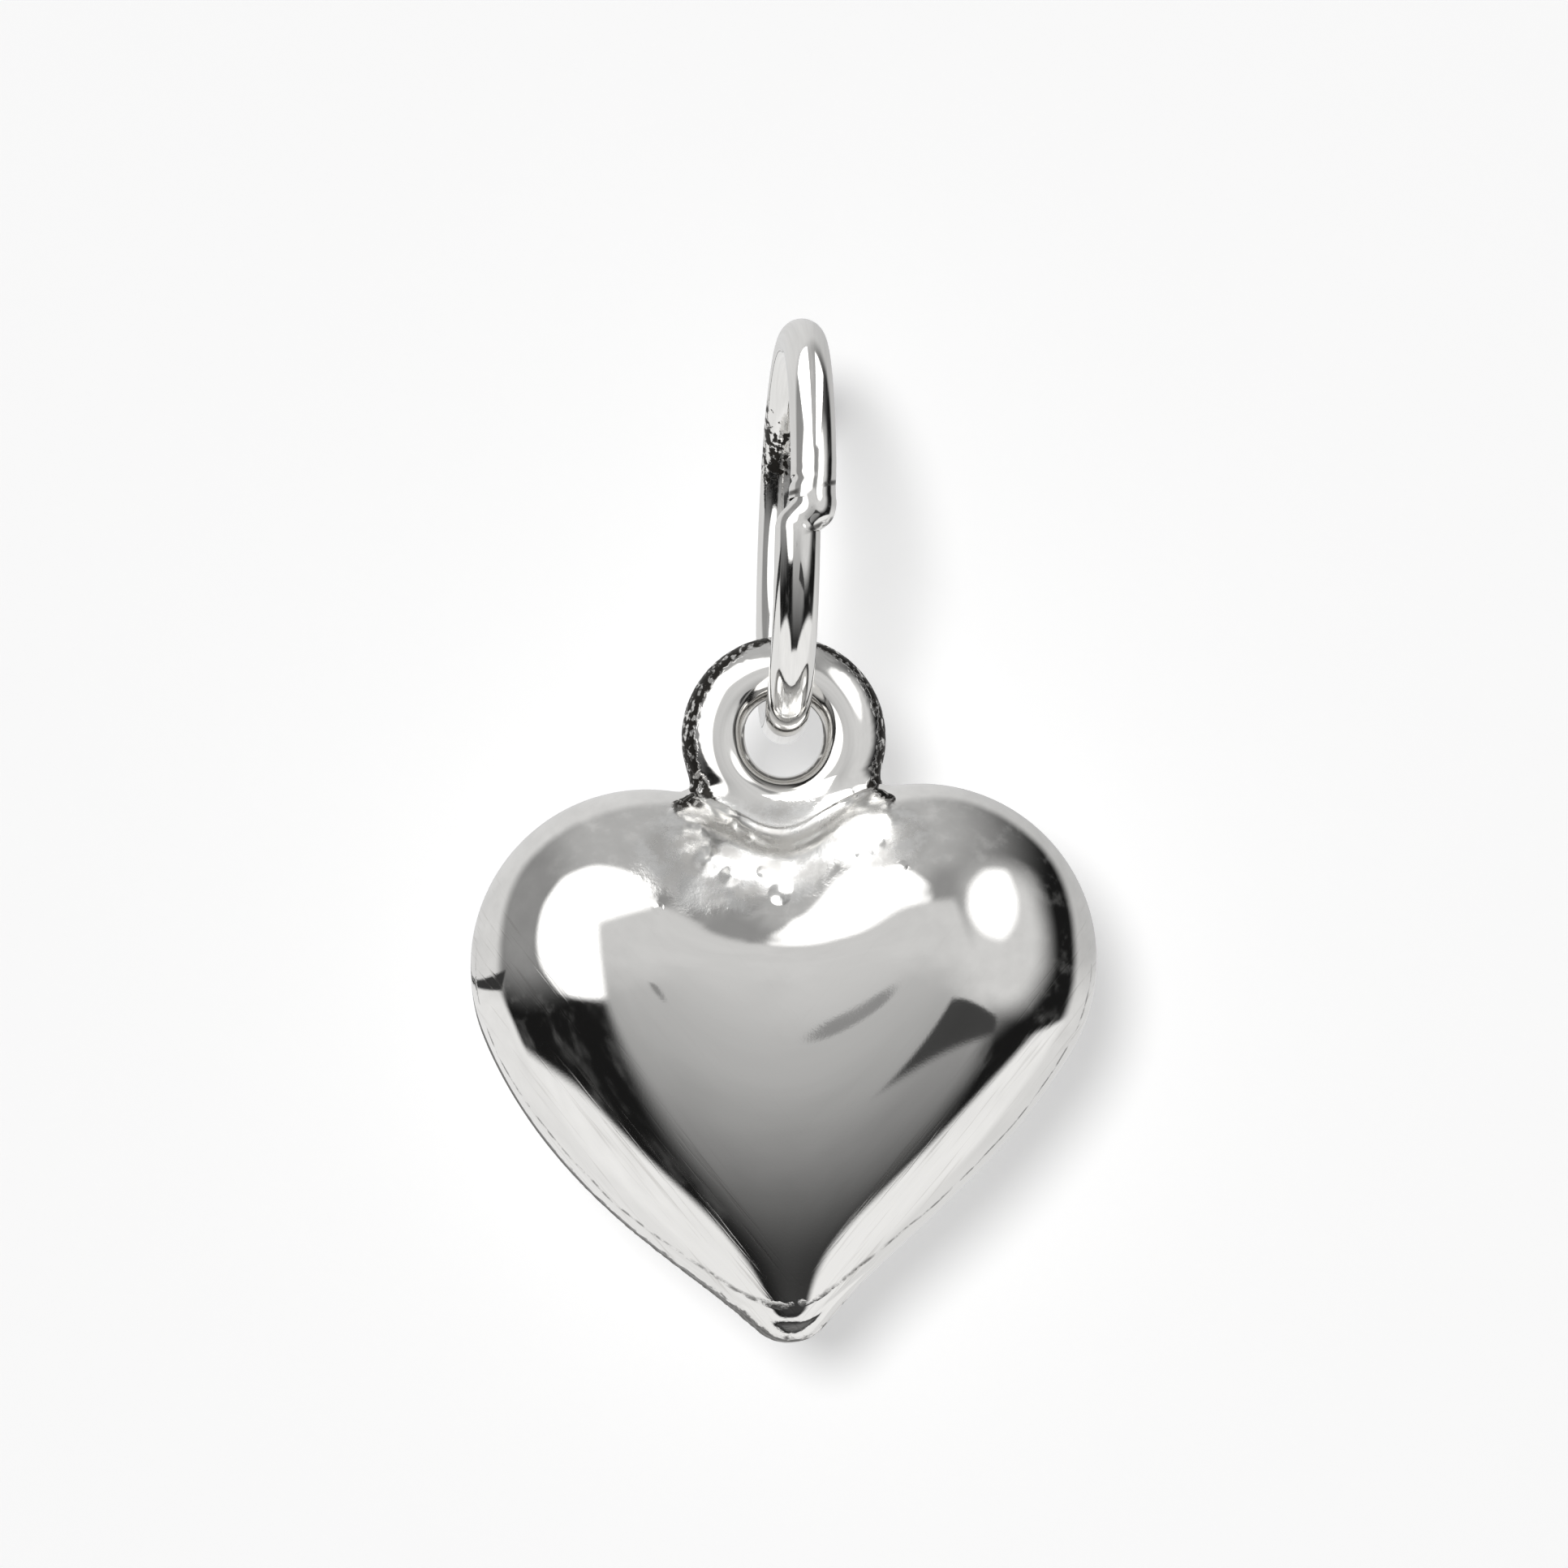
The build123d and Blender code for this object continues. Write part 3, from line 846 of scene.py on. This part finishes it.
# Lights and cards of the studio, as a polished ball in the middle of it shows them. The corners (x, z) are
# places on the ball's face, from -1 to 1 of its radius, and later cards lie in front of earlier ones.
STUDIO_CARDS = [
    # name, softness of the edge, roundness of the corners, brightness, corners
    ("left halo", 0.14, 0.10, 0.28,
     [(-0.80, -0.04), (-0.60, -0.12), (-0.42, -0.07), (-0.42, 0.49), (-0.54, 0.61), (-0.80, 0.49)]),
    ("left softbox", 0.02, 0.05, 1.5,
     [(-0.52, 0.123), (-0.49, -0.007), (-0.38, -0.13), (-0.22, -0.15), (-0.09, -0.11), (0.04, 0.19),
      (0.055, 0.325), (-0.07, 0.43), (-0.25, 0.475), (-0.405, 0.42), (-0.497, 0.283)]),
    ("grey card", 0.022, 0.03, 0.62,
     [(-0.218, 0.195), (-0.218, -0.22), (-0.155, -0.36), (-0.124, -0.63), (0.12, -0.63), (0.20, -0.54),
      (0.31, -0.41), (0.335, -0.30), (0.15, 0.28), (-0.02, 0.255), (-0.12, 0.224)]),
    ("grey card, corner", 0.05, 0.03, 0.28,
     [(0.02, 0.28), (0.16, 0.28), (0.16, 0.41), (0.085, 0.41), (0.02, 0.31)]),
    ("right softbox", 0.09, 0.08, 0.66,
     [(0.20, -0.175), (0.355, -0.245), (0.485, -0.21), (0.60, -0.06), (0.61, 0.18), (0.555, 0.39),
      (0.425, 0.455), (0.275, 0.42), (0.20, 0.32), (0.16, 0.13), (0.14, -0.05)]),
    ("right softbox core", 0.03, 0.06, 1.5,
     [(0.21, 0.20), (0.275, 0.11), (0.37, 0.09), (0.44, 0.17), (0.46, 0.30), (0.415, 0.425), (0.30, 0.42),
      (0.215, 0.32)]),
    ("large leaf", 0.010, 0.01, 0.05,
     [(0.098, -0.243), (0.173, -0.259), (0.303, -0.286), (0.362, -0.294), (0.341, -0.25), (0.262, -0.197),
      (0.19, -0.165), (0.14, -0.158)]),
    ("small leaf", 0.004, 0.004, 0.26,
     [(-0.034, -0.060), (-0.028, -0.084), (-0.018, -0.092), (-0.010, -0.086), (-0.012, -0.074),
      (-0.024, -0.062)]),
    ("table, left", 0.02, 0.02, 0.86,
     [(-1.0, -0.32), (-1.0, -1.15), (-0.08, -1.15), (-0.09, -0.60), (-0.185, -0.485), (-0.291, -0.414),
      (-0.40, -0.363), (-0.61, -0.348)]),
    ("table, far left", 0.02, 0.04, 0.86,
     [(-1.0, -0.12), (-1.0, -0.42), (-0.61, -0.42), (-0.65, -0.31), (-0.74, -0.155)]),
    ("table, right", 0.02, 0.02, 0.86,
     [(1.0, -0.265), (0.852, -0.288), (0.60, -0.345), (0.325, -0.452), (0.16, -0.535), (0.09, -0.60),
      (0.08, -1.15), (1.0, -1.15)]),
    ("table, middle", 0.012, 0.01, 0.86, [(-0.2, -0.565), (-0.2, -1.15), (0.3, -1.15), (0.3, -0.565)]),
]

# The thin dark gap between the table and the room, which lies in front of all else: softness, roundness,
# brightness, corners
TABLE_GAP = (0.008, 0.01, 0.035, [(-1.05, -0.150), (-1.05, -0.162), (-0.73, -0.135), (-0.70, -0.03)])

GLOW_PLACE = (-0.12, 0.66)   # middle of a wide glow high in the studio, on the ball's face
GLOW_REACH = (0.15, 0.85)    # where it starts to fall off and where it ends
GLOW = 0.46                  # its brightness
DARKEST = 0.010              # brightness where nothing shines
HAZE = 0.06                  # brightness of the clouds in the dark
CLOUDED = (0.30, 0.85)       # how much the clouds vary the light, and the least share that they leave
EVEN_LIGHT = 0.02            # brightness for all but the reflections

PAPER_TONES = (0.995, 1.005)   # darkest and lightest fibre, as shares of the paper's colour
ROOM_REACH = 0.2             # metres from the middle to the wall's and the floor's edges
FLOOR_FRONT = -0.3           # y of the floor's front edge, in metres

# Lamps overhead, in millimetres
OVERHEAD_BRIGHTNESS = 1.4
CLEFT_LAMP_SIZE = (1.75, 1.7)
CLEFT_LAMP_PLACE = (0.65, -1.5, 0.6)   # to the right of the eyelet's centre, y, and below that centre
RING_LAMP_SIDES = (("ring_lamp_left", -19, -1.5), ("ring_lamp_right", 6, 17))   # name, left and right edge
RING_LAMP_DEPTH = 32
RING_LAMP_PLACE = (-8, 20)   # y and height


def ball_face(w):
    """Where a polished ball shows each direction of the studio: (x, z) of its skin there.

    A direction (x, y, z) shows at x and z over the root of 2 - 2 y.
    """
    x, y, z = w.split(w.node("ShaderNodeTexCoord").outputs["Generated"])
    spread = w.maths("SQRT", w.maths("MAXIMUM", w.maths("MULTIPLY_ADD", y, -2.0, 2.0), 1e-5))
    return w.maths("DIVIDE", x, spread), w.maths("DIVIDE", z, spread)


def card_mask(w, place, corners, softness, roundness):
    """One card as a mask: how far a place lies inside all its edges, with rounded corners and a soft edge."""
    corners = np.array(corners, float)
    following = np.roll(corners, -1, axis=0)
    area = (corners[:, 0] * following[:, 1] - following[:, 0] * corners[:, 1]).sum()
    edge = unit(following - corners) * np.sign(area)
    depths = [
        w.measure("DOT_PRODUCT", place, (-along_z, along_x, x * along_z - z * along_x))
        for (x, z), (along_x, along_z) in zip(corners, edge)
    ]
    inside = w.chain("SMOOTH_MIN", depths, roundness)
    return w.smooth(inside, w.times(softness, -1.0), softness)


def room_light(w, x, z, light):
    """Light with the room added, which the ball shows round its edge.

    Its inner edge lies further out at the right and at the top. It is paler below than above, and at the left
    than at the right.
    """
    reach = w.blend(w.smooth(x, -0.3, 0.3), 0.745, 0.80)
    reach = w.plus(reach, w.blend(w.smooth(z, 0.0, 0.6), 0.0, 0.09))
    room = w.smooth(w.minus(w.maths("SQRT", w.squares(x, z)), reach), -0.035, 0.035)
    to_right = w.smooth(x, -0.2, 0.8)
    bright = w.blend(w.smooth(z, 0.0, -0.25), w.blend(to_right, 0.68, 0.52), w.blend(to_right, 0.80, 0.70))
    return w.blend(room, light, bright)


def light_studio():
    """World light: an even faint light on paper, and the studio's cards in the silver's reflections."""
    world = bpy.data.worlds.new("studio")
    bpy.context.scene.world = world
    world.use_nodes = True
    world.node_tree.nodes.clear()
    w = Wiring(world.node_tree)
    x, z = ball_face(w)
    place = w.combine(x, z, 1.0)
    glow_x, glow_z = GLOW_PLACE
    from_glow = w.maths("SQRT", w.squares(w.minus(x, glow_x), w.minus(z, glow_z)))
    cloud = w.noise(place, 8.0, Detail=4.0, Roughness=0.6)
    light = w.blend(w.smooth(from_glow, *GLOW_REACH), GLOW, DARKEST)
    light = w.maths("MULTIPLY_ADD", w.smooth(cloud, 0.50, 0.70), HAZE, light)
    for name, softness, roundness, bright, corners in STUDIO_CARDS:
        if name == "grey card":   # soft and dark at its lower end
            softness = w.blend(w.smooth(z, -0.1, -0.4), softness, 0.06)
            bright = w.blend(w.maths("MULTIPLY_ADD", z, 1 / 0.55, 0.52 / 0.55, clamp=True), 0.03, bright)
        light = w.blend(card_mask(w, place, corners, softness, roundness), light, bright)
    light = room_light(w, x, z, light)
    light = w.times(light, w.maths("MULTIPLY_ADD", cloud, *CLOUDED))
    softness, roundness, bright, corners = TABLE_GAP
    light = w.blend(card_mask(w, place, corners, softness, roundness), light, bright)

    reflected = w.node("ShaderNodeLightPath").outputs["Is Glossy Ray"]
    even_light = w.node("ShaderNodeBackground", {"Color": (1, 1, 1, 1), "Strength": EVEN_LIGHT})
    cards_light = w.node("ShaderNodeBackground", {"Color": w.combine(light, light, light)})
    w.node("ShaderNodeOutputWorld", {"Surface": w.pick(reflected, even_light, cards_light)})


def paper_material(studio):
    """Matt pale paper with faint fibre, seen from its front only. It glows a little by itself."""
    material, w, shader, place = new_material("paper")
    darker, lighter = ([min(part * tone, 1) for part in studio.paper] + [1] for tone in PAPER_TONES)
    w.join(w.mix(w.noise(place, 900.0), darker, lighter), shader.inputs["Base Color"])
    for name, value in (
        ("Roughness", 1.0), ("Specular IOR Level", 0.0), ("Emission Color", (1, 1, 1, 1)),
        ("Emission Strength", studio.glow),
    ):
        shader.inputs[name].default_value = value
    behind = w.node("ShaderNodeNewGeometry").outputs["Backfacing"]
    surface = w.pick(behind, shader, w.node("ShaderNodeBsdfTransparent"))
    w.join(surface, material.node_tree.nodes["Material Output"].inputs["Surface"])
    return material


def place_in_scene(name, data):
    """A new object for a lamp or camera, in the scene."""
    made = bpy.data.objects.new(name, data)
    bpy.context.scene.collection.objects.link(made)
    return made


def lamp_overhead(name, shape, size, place):
    """Lamp of a size across and in depth that faces down and shows in polished metal alone.

    Its energy is its brightness times pi times its area.
    """
    lamp = bpy.data.lights.new(name, "AREA")
    lamp.shape = shape
    lamp.size, lamp.size_y = np.array(size) * MM
    filled = pi / 4 if shape == "ELLIPSE" else 1
    lamp.energy = OVERHEAD_BRIGHTNESS * pi * lamp.size * lamp.size_y * filled
    lamp.diffuse_factor = 0.0
    lamp_object = place_in_scene(name, lamp)
    lamp_object.location = place
    lamp_object.visible_camera = False
    return lamp_object


def cleft_lamp(e):
    """Small lamp over the cleft in front of the eyelet that lights the solder."""
    right, y, below = np.array(CLEFT_LAMP_PLACE) * MM
    lamp_overhead("cleft_lamp", "ELLIPSE", CLEFT_LAMP_SIZE, (e.centre_x + right, y, e.centre_z - below))


def ring_lamps(ring):
    """Two long lamps that light the ring's wire alone, for the bright streaks down its front leg."""
    wire_only = bpy.data.collections.new("ring_wire_only")
    wire_only.objects.link(ring)
    for name, left, right in RING_LAMP_SIDES:
        place = np.array([(left + right) / 2, *RING_LAMP_PLACE]) * MM
        lamp = lamp_overhead(name, "RECTANGLE", (right - left, RING_LAMP_DEPTH), place)
        lamp.light_linking.receiver_collection = wire_only


def soft_lamp(studio):
    """Soft lamp for the shadow on the paper, which the silver doesn't show."""
    lamp = bpy.data.lights.new("soft_lamp", "SUN")
    lamp.energy = studio.lamp
    lamp.angle = studio.lamp_width
    lamp_object = place_in_scene("soft_lamp", lamp)
    lamp_object.rotation_euler = (studio.lamp_tilt, 0, studio.lamp_turn)
    lamp_object.visible_glossy = False


def camera_in_front(studio):
    """Camera in front of the picture's centre, level with it and looking along +Y."""
    camera = bpy.data.cameras.new("camera")
    camera.lens = studio.lens
    camera.sensor_width = 36
    camera.clip_start, camera.clip_end = 0.001, 10
    camera_object = place_in_scene("camera", camera)
    camera_object.location = (studio.centre_x, -studio.distance, studio.centre_z)
    camera_object.rotation_euler = (radians(90), 0, 0)
    bpy.context.scene.camera = camera_object


def paper_sheet(name, corners, paper):
    """A flat sheet of paper between four corners, facing by the right-hand rule, that silver doesn't show."""
    sheet = lay_mesh(name, np.array(corners, float), [[0, 1, 2, 3]])
    sheet.data.materials.append(paper)
    sheet.visible_glossy = False
    sheet.visible_diffuse = False


# ---------------------------------------------------------------- operators

class PENDANT_OT_silver(Operator):
    """Mix the polished silver of the heart, the eyelet and the ring."""

    bl_idname = "pendant.silver"
    bl_label = "Silver"

    def execute(self, context):
        look = context.scene.pendant_silver
        handling_marks_group()
        solder_spatter_group()
        eyelet_painted_shade_group(context.scene.pendant_eyelet)
        tarnished_seam_group()
        wire_specks_and_painted_shade_group()
        silver_material("heart_silver", look, 0.30, look.roughness, "tarnished_seam", spatter=True)
        # The eyelet's silver carries painted shade: a dark band on its outer edge and a line round its hole.
        silver_material("eyelet_silver", look, 0.15, look.roughness + 0.03, "eyelet_painted_shade", spatter=True)
        # The ring's silver carries dark specks and painted shade lines by its bead.
        silver_material("ring_silver", look, 0.15, look.roughness + 0.02, "wire_specks_and_painted_shade")
        return {"FINISHED"}


class PENDANT_OT_heart(Operator):
    """Make the puffed heart with its soldered eyelet."""

    bl_idname = "pendant.heart"
    bl_label = "Heart and eyelet"

    def execute(self, context):
        scene = context.scene
        h, e = scene.pendant_heart, scene.pendant_eyelet
        place = np.array([e.centre_x, 0, e.centre_z - e.above_lobes])
        heart, faces = heart_skin(h, e)
        shell = lay_mesh("heart_shell", heart + place, faces)
        points, faces = eyelet_skin(h, e)
        eyelet = lay_mesh("heart_eyelet", points + place, faces)
        for piece, silver in ((shell, "heart_silver"), (eyelet, "eyelet_silver")):
            piece.data.materials.append(bpy.data.materials[silver])
            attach(piece, "heart")
        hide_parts("heart_drop")
        return {"FINISHED"}


class PENDANT_OT_ring(Operator):
    """Make the jump ring with its soldered joint."""

    bl_idname = "pendant.ring"
    bl_label = "Jump ring"

    def execute(self, context):
        r = context.scene.pendant_ring
        faces = quad_strip(r.rings, r.sides, close_rows=True).tolist()
        ring = lay_mesh("ring_wire", ring_skin(r) + ring_place(r), faces)
        ring.data.materials.append(bpy.data.materials["ring_silver"])
        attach(ring, "ring")
        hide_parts("jump_ring")
        return {"FINISHED"}


class PENDANT_OT_studio(Operator):
    """Set up the paper wall and floor, the studio's light and the camera."""

    bl_idname = "pendant.studio"
    bl_label = "Studio"

    def execute(self, context):
        scene = context.scene
        studio = scene.pendant_studio
        light_studio()
        paper = paper_material(studio)
        side, front, y, z = ROOM_REACH, FLOOR_FRONT, studio.wall, studio.floor
        paper_sheet("wall", [(-side, y, z), (side, y, z), (side, y, side), (-side, y, side)], paper)
        paper_sheet("floor", [(-side, front, z), (side, front, z), (side, y, z), (-side, y, z)], paper)
        cleft_lamp(scene.pendant_eyelet)
        ring_lamps(bpy.data.objects["ring_wire"])
        soft_lamp(studio)
        camera_in_front(studio)
        scene.view_settings.view_transform = "Standard"
        return {"FINISHED"}


class PENDANT_PT_maker(Panel):
    """Lists the pendant's makers."""

    bl_label = "Heart Pendant"
    bl_idname = "PENDANT_PT_maker"
    bl_space_type = "VIEW_3D"
    bl_region_type = "UI"
    bl_category = "Heart Pendant"

    def draw(self, context):
        for maker in MAKERS:
            self.layout.operator(maker.bl_idname)


MAKERS = (PENDANT_OT_silver, PENDANT_OT_heart, PENDANT_OT_ring, PENDANT_OT_studio)
SETTINGS = {
    "pendant_ring": RingSettings,
    "pendant_heart": HeartSettings,
    "pendant_eyelet": EyeletSettings,
    "pendant_silver": SilverSettings,
    "pendant_studio": StudioSettings,
}


def register():
    for name, settings in SETTINGS.items():
        bpy.utils.register_class(settings)
        setattr(bpy.types.Scene, name, PointerProperty(type=settings))
    for maker in MAKERS + (PENDANT_PT_maker,):
        bpy.utils.register_class(maker)


def unregister():
    for maker in (PENDANT_PT_maker,) + MAKERS[::-1]:
        bpy.utils.unregister_class(maker)
    for name, settings in SETTINGS.items():
        delattr(bpy.types.Scene, name)
        bpy.utils.unregister_class(settings)


def main():
    register()
    bpy.ops.pendant.silver()
    bpy.ops.pendant.heart()
    bpy.ops.pendant.ring()
    bpy.ops.pendant.studio()


if __name__ == "__main__":
    main()
